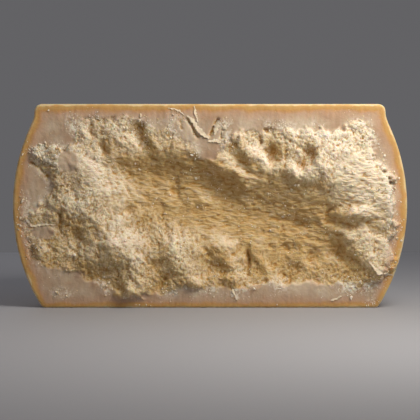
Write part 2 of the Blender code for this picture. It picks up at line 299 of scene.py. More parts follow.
def new_material(name, finish):
    """A material with its node tree and its shader, whose inputs are set from finish."""
    material = bpy.data.materials.new(name)
    material.use_nodes = True
    shader = material.node_tree.nodes["Principled BSDF"]
    for key, value in finish.items():
        shader.inputs[key].default_value = value
    return material, material.node_tree, shader


def add_piece(context, name, mesh):
    """Puts a finished mesh in the scene as a piece of the cheese."""
    piece = bpy.data.objects.new(name, mesh)
    context.scene.collection.objects.link(piece)
    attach(piece, "root")
    return piece


def dice(i, j, seed):
    """A number from 0 to 1 for each whole cell (i, j), the same every time."""
    n = np.sin(i * 127.1 + j * 311.7 + seed * 74.7) * 43758.5453
    return n - np.floor(n)


def noise(x, z, cell, seed):
    """Smooth gradient noise, about -1 to 1, that changes over one cell."""
    x, z = 0.8 * x / cell - 0.6 * z / cell, 0.6 * x / cell + 0.8 * z / cell
    i, j = np.floor(x), np.floor(z)
    u, v = x - i, z - j
    corners = []
    for dj in (0, 1):
        for di in (0, 1):
            turn = 2 * math.pi * dice(i + di, j + dj, seed)
            corners.append((u - di) * np.cos(turn) + (v - dj) * np.sin(turn))
    u, v = u * u * u * (u * (u * 6 - 15) + 10), v * v * v * (v * (v * 6 - 15) + 10)
    low = corners[0] + u * (corners[1] - corners[0])
    high = corners[2] + u * (corners[3] - corners[2])
    return 1.6 * (low + v * (high - low))


def layered(x, z, cell, seed, octaves, keep, shift, form):
    """Octaves of noise, each finer, weaker and turned, with its form applied to each."""
    total, share = np.zeros(x.shape), 1.0
    for octave in range(octaves):
        total += share * form(noise(x, z, cell, seed + octave))
        x, z = 0.8 * x + 0.6 * z + shift, 0.8 * z - 0.6 * x
        cell, share = cell / 1.9, share * keep
    return total


def swells(x, z, cell, seed, octaves, keep):
    """Soft rises and dips; about -1 to 1."""
    return layered(x, z, cell, seed, octaves, keep, 3.0, lambda n: n)


def lumps(x, z, cell, seed, octaves, keep):
    """Rounded lumps with sharp creases between them; about -1 to 1."""
    return layered(x, z, cell, seed, octaves, keep, 7.0, lambda n: 2.2 * np.abs(n) - 0.75)


def grains(x, z, cell, seed):
    """Round grains of mixed sizes with gaps between them, 0 in the gaps and up to 1."""
    i0, j0 = np.floor(x / cell), np.floor(z / cell)
    top = np.zeros(x.shape)
    for di in (-1, 0, 1):
        for dj in (-1, 0, 1):
            i, j = i0 + di, j0 + dj
            u = x / cell - (i + 0.1 + 0.8 * dice(i, j, seed))
            v = z / cell - (j + 0.1 + 0.8 * dice(i, j, seed + 1))
            radius = 0.3 + 0.4 * dice(i, j, seed + 2)
            swell = np.clip(1 - (u * u + v * v) / (radius * radius), 0, 1)
            top = np.maximum(top, radius * 1.4 * np.sqrt(swell))
    return top


def oval(x, z, centre_x, centre_z, half_length, half_width, turn_deg):
    """1 at an oval's centre, falling smoothly to 0 at its edge."""
    c, s = math.cos(math.radians(turn_deg)), math.sin(math.radians(turn_deg))
    u = ((x - centre_x) * c + (z - centre_z) * s) / half_length
    v = ((z - centre_z) * c - (x - centre_x) * s) / half_width
    return (1 - np.clip(u * u + v * v, 0, 1)) ** 2


def segment_distance(x, z, start, end):
    """Distance to the straight line between two points."""
    (ax, az), (ex, ez) = start, (end[0] - start[0], end[1] - start[1])
    along = np.clip(((x - ax) * ex + (z - az) * ez) / (ex * ex + ez * ez), 0, 1)
    return np.hypot(x - ax - along * ex, z - az - along * ez)


def crest(x, z, line, left_width, right_width, height):
    """A ridge along a line, with its own half width on each side of the line's run."""
    out = np.zeros(x.shape)
    for start, end in zip(line, line[1:]):
        ex, ez = end[0] - start[0], end[1] - start[1]
        away = segment_distance(x, z, start, end)
        side = ((x - start[0]) * ez - (z - start[1]) * ex) / math.hypot(ex, ez)
        lean = np.clip(side / np.maximum(away, 0.1), -1, 1)
        width = left_width + (right_width - left_width) * 0.5 * (1 + lean)
        out = np.maximum(out, np.exp(-((away / width) ** 2)))
    return height * out


def distance_inside(x, z, outline):
    """Distance to a closed outline, above zero inside it."""
    away = np.full(x.shape, np.inf)
    inside = np.zeros(x.shape, bool)
    for start, end in zip(outline, outline[1:] + outline[:1]):
        away = np.minimum(away, segment_distance(x, z, start, end))
        (ax, az), (bx, bz) = start, end
        if az != bz:
            inside ^= ((az > z) != (bz > z)) & (x < (bx - ax) * (z - az) / (bz - az) + ax)
    return np.where(inside, away, -away)


def broken_share(x, z):
    """0 on the knife's smooth cut, 1 on the broken paste."""
    wander = EDGE_WANDER * swells(x, z, cell=15.0, seed=3, octaves=3, keep=0.7)
    share = np.clip((distance_inside(x, z, FRACTURE_EDGE) + wander) / EDGE_SOFTNESS, 0, 1)
    return share * share * (3 - 2 * share)


def smooth_share(x, z):
    """1 on the small patches of smooth cut left standing inside the break."""
    return np.clip(sum(3.0 * oval(x, z, *island) for island in CUT_ISLANDS.values()), 0, 1)


def streaks(x, z):
    """How much the break runs in streaks at each place, and the streaks' own relief."""
    share, relief = np.zeros(x.shape), np.zeros(x.shape)
    for seed, (*place, grain) in enumerate(STREAKS.values(), 40):
        here = np.clip(2.2 * oval(x, z, *place), 0, 1)
        c, s = math.cos(math.radians(grain)), math.sin(math.radians(grain))
        along, across = x * c + z * s, z * c - x * s
        across = across + 4.0 * noise(x, z, cell=40.0, seed=seed + 9)
        across += 1.5 * noise(x, z, cell=11.0, seed=seed + 8)
        coarse = noise(along / 3.5, across, cell=7.0, seed=seed)
        fine = noise(along / 2.8, across, cell=3.4, seed=seed + 5)
        relief += here * (0.9 * coarse + 1.1 * fine)
        share = np.maximum(share, here)
    return share, relief


def great_hollow(x, z):
    """The large hollow: steep walls round a floor that rises towards the bottom."""
    width = np.interp(x, HOLLOW_WALL_AT, HOLLOW_WALL)
    wall = np.clip(distance_inside(x, z, HOLLOW_EDGE) / width, 0, 1)
    across, up = x - HOLLOW_FLOOR_MIDDLE[0], z - HOLLOW_FLOOR_MIDDLE[1]
    floor = HOLLOW_FLOOR_HEIGHT + HOLLOW_FLOOR_SLOPE[0] * across + HOLLOW_FLOOR_SLOPE[1] * up
    return wall * wall * (3 - 2 * wall) * np.clip(floor, HOLLOW_DEEPEST, 0)


def face_relief(x, z, settings):
    """How far the split face stands out towards the viewer from the knife's cut."""
    crag, grain = settings.crag_height / MM, settings.grain_height / MM
    streak, pit = settings.streak_height / MM, settings.pit_depth / MM

    # The large forms, drawn a little uneven.
    wx = x + BROAD_WANDER * noise(x, z, cell=30.0, seed=61)
    wx += FINE_WANDER * swells(x, z, cell=12.0, seed=62, octaves=2, keep=0.6)
    wz = z + BROAD_WANDER * noise(x, z, cell=30.0, seed=63)
    wz += FINE_WANDER * swells(x, z, cell=12.0, seed=67, octaves=2, keep=0.6)
    height = great_hollow(wx, wz)
    for *place, rise in MOUNDS.values():
        height += rise * oval(wx, wz, *place)
    for sizes in CRESTS.values():
        height += crest(wx, wz, *sizes)

    # Crags, grains and pits, calmer where the break runs in streaks.
    streaky, streak_relief = streaks(x, z)
    calm = 1 - 0.6 * streaky
    height += crag * calm * lumps(wx, wz, cell=26.0, seed=11, octaves=2, keep=0.5)
    fine_x = x + GRAIN_WANDER * noise(x, z, cell=6.0, seed=65)
    fine_z = z + GRAIN_WANDER * noise(x, z, cell=6.0, seed=66)
    patches = 0.75 + 0.7 * noise(x, z, cell=26.0, seed=51) + 0.5 * noise(x, z, cell=9.0, seed=52)
    crumbly = np.clip(patches, 0.45, 1.2)
    fine = crag * calm * 0.45 * noise(fine_x, fine_z, cell=11.0, seed=17)
    fine += grain * crumbly * calm * swells(fine_x, fine_z, cell=3.8, seed=21, octaves=2, keep=0.8)
    fine += grain * crumbly * calm * grains(fine_x, fine_z, cell=3.2, seed=31)
    fine += streak * streak_relief
    fine -= pit * np.clip(2.2 * noise(fine_x, fine_z, cell=8.0, seed=55) - 1.3, 0, 1)

    # The knife's cut: almost flat, scored, and leaning back at its foot.
    cut = 0.5 * swells(x, z / 2.0, cell=24.0, seed=71, octaves=2, keep=0.5)
    cut += 0.2 * noise(x, z / 4.0, cell=4.0, seed=75)
    cut -= FOOT_LEAN * np.clip(1 - z / FOOT_HEIGHT, 0, 1) ** 2
    for line, half_width, depth in SCORES.values():
        cut -= crest(x, z, line, half_width, half_width, depth)
    broken = broken_share(x, z)
    return (height + fine * (1 - smooth_share(x, z))) * broken + cut * (1 - broken)


def crumb_cover(x, z, broken):
    """Where loose crumbs lie: along the edge of the break, in patches on it, and a few on the cut."""
    rim = np.exp(-((distance_inside(x, z, FRACTURE_EDGE) / 7.0) ** 2))
    patches = 0.35 + 1.3 * noise(x, z, cell=24.0, seed=81) + 0.6 * noise(x, z, cell=8.0, seed=82)
    patches = np.clip(patches, 0, 1)
    cover = 0.25 * broken * patches * patches + 0.8 * rim * patches + 0.01
    for spot, amount in CRUMB_SPOTS.values():
        cover += amount * oval(x, z, *spot)
    return np.clip(cover, 0, 8) * (1 - smooth_share(x, z))


def heel_arc(z_from, z_to, edge_radius):
    """Points of an arc that is upright at the bulge and meets edge_radius at z_to."""
    rise = z_to - z_from
    drop = BULGE_RADIUS - edge_radius
    radius = (rise * rise + drop * drop) / (2 * drop)
    sweep = math.asin(abs(rise) / radius)
    points = []
    for step in range(HEEL_STEPS + 1):
        angle = sweep * step / HEEL_STEPS
        inset = radius * (1 - math.cos(angle))
        points.append((BULGE_RADIUS - inset, z_from + math.copysign(radius * math.sin(angle), rise)))
    return points


def bend(start, corner, end):
    """Points of a smooth bend between start and end, round the inside of a corner."""
    return [
        tuple((1 - t) ** 2 * a + 2 * t * (1 - t) * b + t * t * c for a, b, c in zip(start, corner, end))
        for t in (step / BEND_STEPS for step in range(BEND_STEPS + 1))
    ]


def heel_profile():
    """The wheel's round side from its foot up, as arrays of radius and z at even steps along it."""
    lower = [p for p in heel_arc(BULGE_HEIGHT, 0.0, BOTTOM_RADIUS)[::-1] if p[1] > BOTTOM_CORNER]
    bottom = bend((BOTTOM_RADIUS - BOTTOM_CORNER, 0.0), (BOTTOM_RADIUS, 0.0), lower[0])
    lip_foot = WHEEL_HEIGHT - LIP_HEIGHT
    upper = [p for p in heel_arc(BULGE_HEIGHT, lip_foot, LIP_RADIUS)[1:] if p[1] < lip_foot - LIP_NECK]
    shoulder = (LIP_RADIUS, WHEEL_HEIGHT - TOP_CORNER)
    neck = bend(upper[-1], (LIP_RADIUS, lip_foot), shoulder)
    top = bend(shoulder, (LIP_RADIUS, WHEEL_HEIGHT), (LIP_RADIUS - TOP_CORNER, WHEEL_HEIGHT))
    radius, z = np.array(bottom + lower[1:] + upper[:-1] + neck[:-1] + top).T
    along = np.concatenate([[0], np.cumsum(np.hypot(np.diff(radius), np.diff(z)))])
    even = np.linspace(0, along[-1], FACE_ROWS + 1)
    return np.interp(even, along, radius), np.interp(even, along, z)


def blurred(grid, reach):
    """A grid of numbers, averaged over reach cells each way."""
    for axis in (0, 1):
        padded = np.pad(grid, [(reach, reach) if a == axis else (0, 0) for a in (0, 1)], "edge")
        total = np.cumsum(padded, axis=axis)
        total = np.insert(total, 0, 0, axis=axis)
        span = 2 * reach + 1
        high = np.take(total, range(span, total.shape[axis]), axis=axis)
        low = np.take(total, range(total.shape[axis] - span), axis=axis)
        grid = (high - low) / span
    return grid


def grid_faces(index):
    """Quads between the points of a two-dimensional array of vertex numbers."""
    a, b, c, d = index[:-1, :-1], index[:-1, 1:], index[1:, 1:], index[1:, :-1]
    return np.stack([a, b, c, d], axis=-1).reshape(-1, 4)


def flat_side(outline, spacing):
    """Points and triangles that fill a flat outline, with inner points at an even spacing."""
    flat = np.array(outline)
    low, high = flat.min(axis=0), flat.max(axis=0)
    inner = []
    for row, y in enumerate(np.arange(low[1] + spacing, high[1], spacing * 0.87)):
        for x in np.arange(low[0] + (row % 2) * spacing / 2, high[0], spacing):
            inner.append((x, y))
    inner = np.array(inner)
    keep = distance_inside(inner[:, 0], inner[:, 1], [tuple(p) for p in flat]) > spacing * 0.6
    points = [Vector(p) for p in flat] + [Vector(p) for p in inner[keep]]
    edges = [(i, (i + 1) % len(flat)) for i in range(len(flat))]
    verts, _, faces, *_ = delaunay_2d_cdt(points, edges, [], 1, 0.0001)
    return [tuple(v) for v in verts], faces


def paste_values(x, z, height, edge_distance):
    """What the paste's material and the crumbs read at each point of the face."""
    broad = blurred(blurred(height, 4), 4)
    slope_z = np.gradient(broad, axis=0) / np.gradient(z, axis=0)
    slope_x = np.gradient(broad, axis=1) / np.gradient(x, axis=1)
    # Sunk: how far the broad face lies below the cut. The material paints sunk places deeper gold, as
    # painted shade in the recesses, and less pale.
    sunk = np.clip(0.35 - broad / 28.0, 0, 1)
    # Hollow: how far each point lies below its surroundings, where the material paints shade into the
    # creases.
    hollow = (blurred(height, 5) - height) / 4.0 + (blurred(height, 1) - height) / 0.7
    broken = broken_share(x, z)
    # Slits take the break's colours, so the painted crease shade shows in them too.
    slits = [crest(x, z, line, width, width, TORN_SLIT) for line, width, _ in SCORES.values()]

    # The rind's section is a little thinner near the foot.
    rind_depth = edge_distance * (0.84 + 0.4 * np.clip(1 - z / 30, 0, 1))
    cover = crumb_cover(x, z, broken) * (rind_depth > BARE_RIM)

    # Painted highlight: slopes that face up or right, towards the key light, are painted paler, and sunk
    # places less pale.
    # The paste is also paler higher up and towards both ends, and real crumb dust adds a little where crumbs
    # lie.
    dust_and_painted_highlight = 0.3 + np.abs(x) / 1500.0 + (z - 100.0) / 450.0 - 0.5 * sunk - 0.35 * slope_x - 0.5 * slope_z
    return {
        "broken": np.clip(np.max([broken * (1 - smooth_share(x, z))] + slits, axis=0), 0, 1),
        "streaky": streaks(x, z)[0],
        "rind_depth": rind_depth,
        "hollow": np.clip(hollow, -1, 1),
        "sunk": sunk,
        "dust_and_painted_highlight": np.clip(dust_and_painted_highlight + 0.1 * cover, 0, 1),
        "crumb_cover": cover,
    }


def heel_points(radius, z_rows):
    """Points of the round side between the two ends of the face."""
    angle = np.linspace(0, math.pi, HEEL_COLUMNS + 1)[1:-1]
    z = np.repeat(z_rows[:, None], len(angle), axis=1)
    round_way = np.repeat(BULGE_RADIUS * angle[None, :], len(z_rows), axis=0)
    dents = swells(round_way, z, cell=70.0, seed=95, octaves=2, keep=0.5)
    reach = radius[:, None] + HEEL_DENTS * np.sin(angle) * dents
    return np.stack([reach * np.cos(angle), AXIS_Y + reach * np.sin(angle), z], axis=-1)


def half_wheel_mesh(settings):
    """The half wheel as one closed mesh: broken face, heel, top and bottom."""
    radius, z_rows = heel_profile()
    x = radius[:, None] * np.linspace(-1, 1, FACE_COLUMNS + 1)[None, :]
    z = np.repeat(z_rows[:, None], FACE_COLUMNS + 1, axis=1)
    outline = list(zip(radius, z_rows)) + list(zip(-radius[::-1], z_rows[::-1]))
    edge_distance = np.maximum(distance_inside(x, z, outline), 0)
    height = face_relief(x, z, settings)
    rim = np.clip(1 - edge_distance / RIM_ROUNDING, 0, 1)
    face = np.stack([x, AXIS_Y - height + 0.8 * RIM_ROUNDING * rim * rim, z], axis=-1)
    heel = heel_points(radius, z_rows)
    points = np.concatenate([face.reshape(-1, 3), heel.reshape(-1, 3)]).tolist()

    index = np.arange(x.size).reshape(x.shape)
    heel_index = x.size + np.arange(heel[..., 0].size).reshape(heel.shape[:2])
    heel_ring = np.concatenate([index[:, -1:], heel_index, index[:, :1]], axis=1)
    faces = grid_faces(index).tolist()
    paste_count = len(faces)
    faces += grid_faces(heel_ring).tolist()
    for row, upwards in ((-1, True), (0, False)):
        loop = [*index[row].tolist(), *heel_ring[row][1:-1].tolist()]
        flat_points, flat_faces = flat_side([points[i][:2] for i in loop], FLAT_SPACING)
        inner = flat_points[len(loop):]
        numbers = loop + [len(points) + n for n in range(len(inner))]
        points += [(px, py, z_rows[row]) for px, py in inner]
        for flat_face in flat_faces:
            corners = [numbers[n] for n in flat_face]
            faces.append(corners if upwards else corners[::-1])

    mesh = bpy.data.meshes.new("half_wheel")
    mesh.from_pydata((np.array(points) * MM).tolist(), [], faces)
    rind_count = len(faces) - paste_count
    mesh.polygons.foreach_set("material_index", [0] * paste_count + [1] * rind_count)
    for name, grid in paste_values(x, z, height, edge_distance).items():
        full = np.zeros(len(points), np.float32)
        full[: x.size] = grid.reshape(-1)
        mesh.attributes.new(name, "FLOAT", "POINT").data.foreach_set("value", full)
    mesh.shade_smooth()
    mesh.update()
    return mesh


def crumb_tree():
    """Geometry nodes that strew ragged crumbs over a surface, as thick as its crumb_cover says."""
    tree = bpy.data.node_groups.new("strewn_crumbs", "GeometryNodeTree")
    tree.is_modifier = True
    inputs = {
        "Geometry": ("Geometry",),
        "Float": ("Density", "Smallest", "Largest", "Flatness", "Ragged"),
        "Int": ("Roundness", "Seed"),
        "Material": ("Material",),
    }
    for kind, names in inputs.items():
        for name in names:
            tree.interface.new_socket(name, in_out="INPUT", socket_type=f"NodeSocket{kind}")
    tree.interface.new_socket("Geometry", in_out="OUTPUT", socket_type="NodeSocketGeometry")
    given = add_node(tree, "NodeGroupInput")
    cover = add_node(tree, "GeometryNodeInputNamedAttribute", {"Name": "crumb_cover"}, data_type="FLOAT")
    density = add_node(
        tree, "ShaderNodeMath", {0: given["Density"], 1: cover["Attribute"]}, operation="MULTIPLY"
    )
    points = add_node(
        tree,
        "GeometryNodeDistributePointsOnFaces",
        {"Mesh": given["Geometry"], "Density": density[0], "Seed": given["Seed"]},
    )

    # Each crumb is a flattened ball, turned any way. Most are small.
    ball = add_node(tree, "GeometryNodeMeshIcoSphere", {"Radius": 1.0, "Subdivisions": given["Roundness"]})
    chance = add_node(tree, "FunctionNodeRandomValue", {"Seed": given["Seed"]}, data_type="FLOAT")
    skewed = add_node(tree, "ShaderNodeMath", {0: chance[1], 1: 2.5}, operation="POWER")
    size = add_node(
        tree,
        "ShaderNodeMapRange",
        {"Value": skewed[0], "To Min": given["Smallest"], "To Max": given["Largest"]},
    )["Result"]
    shape = add_node(tree, "ShaderNodeCombineXYZ", {"X": 1.0, "Y": 0.75, "Z": given["Flatness"]})
    scale = add_node(tree, "ShaderNodeVectorMath", {0: shape[0], "Scale": size}, operation="SCALE")
    turn = add_node(
        tree, "FunctionNodeRandomValue", {1: [math.tau] * 3, "Seed": given["Seed"]}, data_type="FLOAT_VECTOR"
    )
    turned = add_node(tree, "FunctionNodeEulerToRotation", {0: turn[0]})
    strewn = add_node(
        tree,
        "GeometryNodeInstanceOnPoints",
        {"Points": points["Points"], "Instance": ball["Mesh"], "Rotation": turned[0], "Scale": scale[0]},
    )
    real = add_node(tree, "GeometryNodeRealizeInstances", {"Geometry": strewn[0]})

    # Notches move the points of each ball in or out, as far as Ragged says.
    notch = add_node(tree, "ShaderNodeTexNoise", {"Scale": per_metre(CRUMB_NOTCH), "Detail": 2.0})
    middle = add_node(tree, "ShaderNodeVectorMath", {0: notch["Color"], 1: [0.5] * 3}, operation="SUBTRACT")
    offset = add_node(
        tree, "ShaderNodeVectorMath", {0: middle[0], "Scale": given["Ragged"]}, operation="SCALE"
    )
    ragged = add_node(tree, "GeometryNodeSetPosition", {"Geometry": real[0], "Offset": offset[0]})
    painted = add_node(
        tree, "GeometryNodeSetMaterial", {"Geometry": ragged[0], "Material": given["Material"]}
    )
    add_node(tree, "NodeGroupOutput", {"Geometry": painted[0]})
    return tree


def strewn_mesh(context, surface, tree, values):
    """The mesh that a tree of geometry nodes gives on a surface with these inputs."""
    base = bpy.data.objects.new("strewn_base", surface)
    context.scene.collection.objects.link(base)
    modifier = base.modifiers.new("strewn", "NODES")
    modifier.node_group = tree
    for socket in tree.interface.items_tree:
        if socket.in_out == "INPUT" and socket.name in values:
            modifier[socket.identifier] = values[socket.name]
    base.update_tag()
    depsgraph = context.evaluated_depsgraph_get()
    mesh = bpy.data.meshes.new_from_object(base.evaluated_get(depsgraph))
    base.modifiers.remove(modifier)
    bpy.data.objects.remove(base)
    return mesh


def smoothed_line(corners, steps):
    """Evenly spaced points along a line, with its corners rounded."""
    corners = np.array(corners, float)
    along = np.concatenate([[0], np.cumsum(np.hypot(*np.diff(corners, axis=0).T))])
    even = np.linspace(0, along[-1], steps + 1)
    line = np.stack([np.interp(even, along, corners[:, axis]) for axis in (0, 1)], axis=1)
    for _ in range(3):
        line[1:-1] = (line[:-2] + line[1:-1] + line[2:]) / 3
    return line


def shavings_mesh(settings):
    """Thin ribbons of paste with torn edges that lie on the cut, one edge curled up."""
    edge_share = np.linspace(0, 1, SHAVING_STRIPS + 1)
    places, rises, faces = [], [], []
    for number, (corners, width, lift) in enumerate(SHAVINGS.values()):
        centre = smoothed_line(corners, SHAVING_STEPS)
        run = np.gradient(centre, axis=0)
        run /= np.hypot(run[:, 0], run[:, 1])[:, None]
        side = np.stack([-run[:, 1], run[:, 0]], axis=1)
        taper = np.sin(np.linspace(0.2, math.pi - 0.2, SHAVING_STEPS + 1)) ** 0.7
        torn = 1 + 0.6 * swells(centre[:, 0], centre[:, 1], cell=3.0, seed=91, octaves=3, keep=0.8)
        taper *= np.clip(torn, 0.3, 1.6)
        shift = 0.6 * swells(centre[:, 0], centre[:, 1], cell=3.5, seed=93, octaves=2, keep=0.8)
        offset = width * taper[:, None] * (edge_share - 0.5) + shift[:, None]
        place = centre[:, None, :] + side[:, None, :] * offset[:, :, None]
        curl = lift * taper[:, None] * (1 - edge_share) ** 2
        places += [place, place]
        rises += [curl + SHAVING_EDGE * (1 - edge_share), curl - SHAVING_SUNK]
        index = np.arange(place[..., 0].size).reshape(place.shape[:2])
        bottom = index + 2 * number * index.size
        top = bottom + index.size
        faces += grid_faces(top).tolist() + grid_faces(bottom[:, ::-1]).tolist()
        sides = [(top[:, 0], bottom[:, 0]), (bottom[:, -1], top[:, -1])]
        for a, b in sides + [(bottom[0], top[0]), (top[-1], bottom[-1])]:
            faces += np.stack([a[:-1], b[:-1], b[1:], a[1:]], axis=-1).tolist()
    x, z = np.array(places)[..., 0].reshape(-1), np.array(places)[..., 1].reshape(-1)
    stand_out = face_relief(x, z, settings) + np.array(rises).reshape(-1)
    mesh = bpy.data.meshes.new("shavings")
    mesh.from_pydata((np.stack([x, AXIS_Y - stand_out, z], axis=1) * MM).tolist(), [], faces)
    bm = bmesh.new()
    bm.from_mesh(mesh)
    bmesh.ops.recalc_face_normals(bm, faces=bm.faces)
    bm.to_mesh(mesh)
    bm.free()
    mesh.shade_smooth()
    return mesh


def crumb_material(name, deep, light):
    """Dry crumbs and thin shavings of hard cheese: paler than the paste they broke from."""
    material, tree, shader = new_material(name, {
        "Roughness": 0.75,
        "Specular IOR Level": 0.3,
        "Subsurface Weight": 0.2,
        "Subsurface Radius": (1.0, 0.6, 0.3),
        "Subsurface Scale": 2.0 * MM,
    })
    place = add_node(tree, "ShaderNodeTexCoord")["Object"]
    patches = add_node(
        tree, "ShaderNodeTexNoise", {"Vector": place, "Scale": per_metre(CRUMB_PATCH), "Detail": 2.0}
    )
    tone = add_node(
        tree, "ShaderNodeMapRange", {"Value": patches["Fac"], "From Min": 0.35, "From Max": 0.6}
    )
    colour = add_node(
        tree, "ShaderNodeMix", {FACTOR: tone["Result"], COLOUR_A: deep, COLOUR_B: light}, data_type="RGBA"
    )
    tree.links.new(colour[MIXED_COLOUR], shader.inputs["Base Color"])
    return material


def paste_material(colours):
    """Hard cheese paste, broken and knife-cut: dry, grainy, a little see-through, never glossy."""
    material, tree, shader = new_material("hard_cheese_paste", {
        "IOR": 1.45,
        "Specular IOR Level": 0.35,
        "Subsurface Weight": 0.4,
        "Subsurface Radius": (1.0, 0.5, 0.2),
        "Subsurface Scale": 4.0 * MM,
    })
    place = add_node(tree, "ShaderNodeTexCoord")["Object"]
    broken, depth, hollow, streaky, sunk, dust_and_painted_highlight, cover = (
        add_node(tree, "ShaderNodeAttribute", attribute_name=name)["Fac"]
        for name in ("broken", "rind_depth", "hollow", "streaky", "sunk", "dust_and_painted_highlight", "crumb_cover")
    )

    # Round grains, drawn out into fibres three times as long where the break is streaky.
    drawn = add_node(
        tree,
        "ShaderNodeMapping",
        {"Vector": place, "Rotation": (0, math.radians(9), 0), "Scale": (0.33, 1.0, 1.0)},
    )[0]
    round_grain, fibre = (
        add_node(
            tree, "ShaderNodeTexNoise", {"Vector": vector, "Scale": per_metre(size), "Detail": 2.5}
        )["Fac"]
        for vector, size in ((place, PASTE_GRAIN), (drawn, PASTE_FIBRE))
    )
    grain = add_node(
        tree, "ShaderNodeMix", {FACTOR: streaky, NUMBER_A: round_grain, NUMBER_B: fibre}
    )[MIXED_NUMBER]

    # The break shows its fresh colour in patches and its deep gold between them; where the face is sunk, the
    # deep gold is painted in as shade in the recesses.
    patches = add_node(
        tree, "ShaderNodeTexNoise", {"Vector": place, "Scale": per_metre(PASTE_PATCH), "Detail": 3.0}
    )
    tone = add_node(
        tree, "ShaderNodeMapRange", {"Value": patches["Fac"], "From Min": 0.3, "From Max": 0.7}
    )["Result"]
    fresh = add_node(tree, "ShaderNodeMath", {0: tone, 1: sunk}, operation="SUBTRACT", use_clamp=True)

    # Pale coat: partly real crumb dust where crumbs lie, partly a painted highlight on slopes that face the
    # key light;
    # it goes first on the tops of the grains, which are painted paler than their gaps.
    dust = add_node(tree, "ShaderNodeMath", {0: grain, 1: 1.2, 2: -0.6}, operation="MULTIPLY_ADD")
    dust = add_node(tree, "ShaderNodeMath", {0: dust[0], 1: dust_and_painted_highlight}, operation="ADD", use_clamp=True)

    # Painted shade: the paste is painted deep gold down between the grains and in the face's creases.
    gap = add_node(
        tree, "ShaderNodeMapRange", {"Value": grain, "From Min": 0.48, "From Max": 0.34, "To Max": 0.5}
    )["Result"]
    painted_crease_shade = add_node(
        tree, "ShaderNodeMath", {0: hollow, 1: 0.6, 2: gap}, operation="MULTIPLY_ADD", use_clamp=True
    )

    # The knife's cut has crumb dust smeared over it where crumbs lie.
    smear = add_node(tree, "ShaderNodeMapRange", {"Value": grain, "From Min": 0.42, "From Max": 0.62})
    smear = add_node(tree, "ShaderNodeMath", {0: smear[0], 1: cover}, operation="MULTIPLY", use_clamp=True)

    # Each surface is its deepest colour with the others laid over it, each by its own share.
    cut_coats = (tone, colours.cut_light), (smear[0], colours.paste_light)
    torn_coats = (
        (fresh[0], colours.paste), (dust[0], colours.paste_light), (painted_crease_shade[0], colours.paste_crease_shade)
    )
    surfaces = []
    for colour, coats in ((colours.cut_deep, cut_coats), (colours.paste_deep, torn_coats)):
        for share, coat in coats:
            colour = add_node(
                tree, "ShaderNodeMix", {FACTOR: share, COLOUR_A: colour, COLOUR_B: coat}, data_type="RGBA"
            )[MIXED_COLOUR]
        surfaces.append(colour)
    cut, torn = surfaces
    paste = add_node(
        tree, "ShaderNodeMix", {FACTOR: broken, COLOUR_A: cut, COLOUR_B: torn}, data_type="RGBA"
    )[MIXED_COLOUR]

    # The rind's cut section: a pale skin, golden behind it, fading to pinkish beige further in. The
    # depths at which each colour starts and stops to fade are in millimetres.
    wander = add_node(
        tree,
        "ShaderNodeTexNoise",
        {"Vector": place, "Scale": per_metre(RIND_RING_WANDER), "Detail": 5.0, "Roughness": 0.6},
    )
    shift = add_node(tree, "ShaderNodeMapRange", {"Value": wander["Fac"], "To Min": -4.0, "To Max": 4.0})
    depth = add_node(tree, "ShaderNodeMath", {0: depth, 1: shift["Result"]}, operation="ADD")
    for from_depth, to_depth, fade, colour in (
        (4.0, 18.0, "SMOOTHSTEP", colours.rind_inner),
        (4.6, 8.0, "LINEAR", colours.rind_deep),
        (2.2, 5.0, "LINEAR", colours.rind),
        (0.5, 1.6, "LINEAR", colours.rind_skin),
    ):
        further_in = add_node(
            tree,
            "ShaderNodeMapRange",
            {"Value": depth[0], "From Min": from_depth, "From Max": to_depth},
            interpolation_type=fade,
        )["Result"]
        paste = add_node(
            tree, "ShaderNodeMix", {FACTOR: further_in, COLOUR_A: colour, COLOUR_B: paste}, data_type="RGBA"
        )[MIXED_COLOUR]
    tree.links.new(paste, shader.inputs["Base Color"])

    # The break is rougher than the cut, in its grain and in its sheen.
    strength, roughness = (
        add_node(
            tree, "ShaderNodeMapRange", {"Value": broken, "To Min": on_cut, "To Max": on_break}
        )["Result"]
        for on_cut, on_break in ((0.2, 1.0), (0.5, 0.75))
    )
    bump = add_node(tree, "ShaderNodeBump", {"Height": grain, "Strength": strength, "Distance": 2.5 * MM})
    tree.links.new(bump["Normal"], shader.inputs["Normal"])
    tree.links.new(roughness, shader.inputs["Roughness"])
    return material


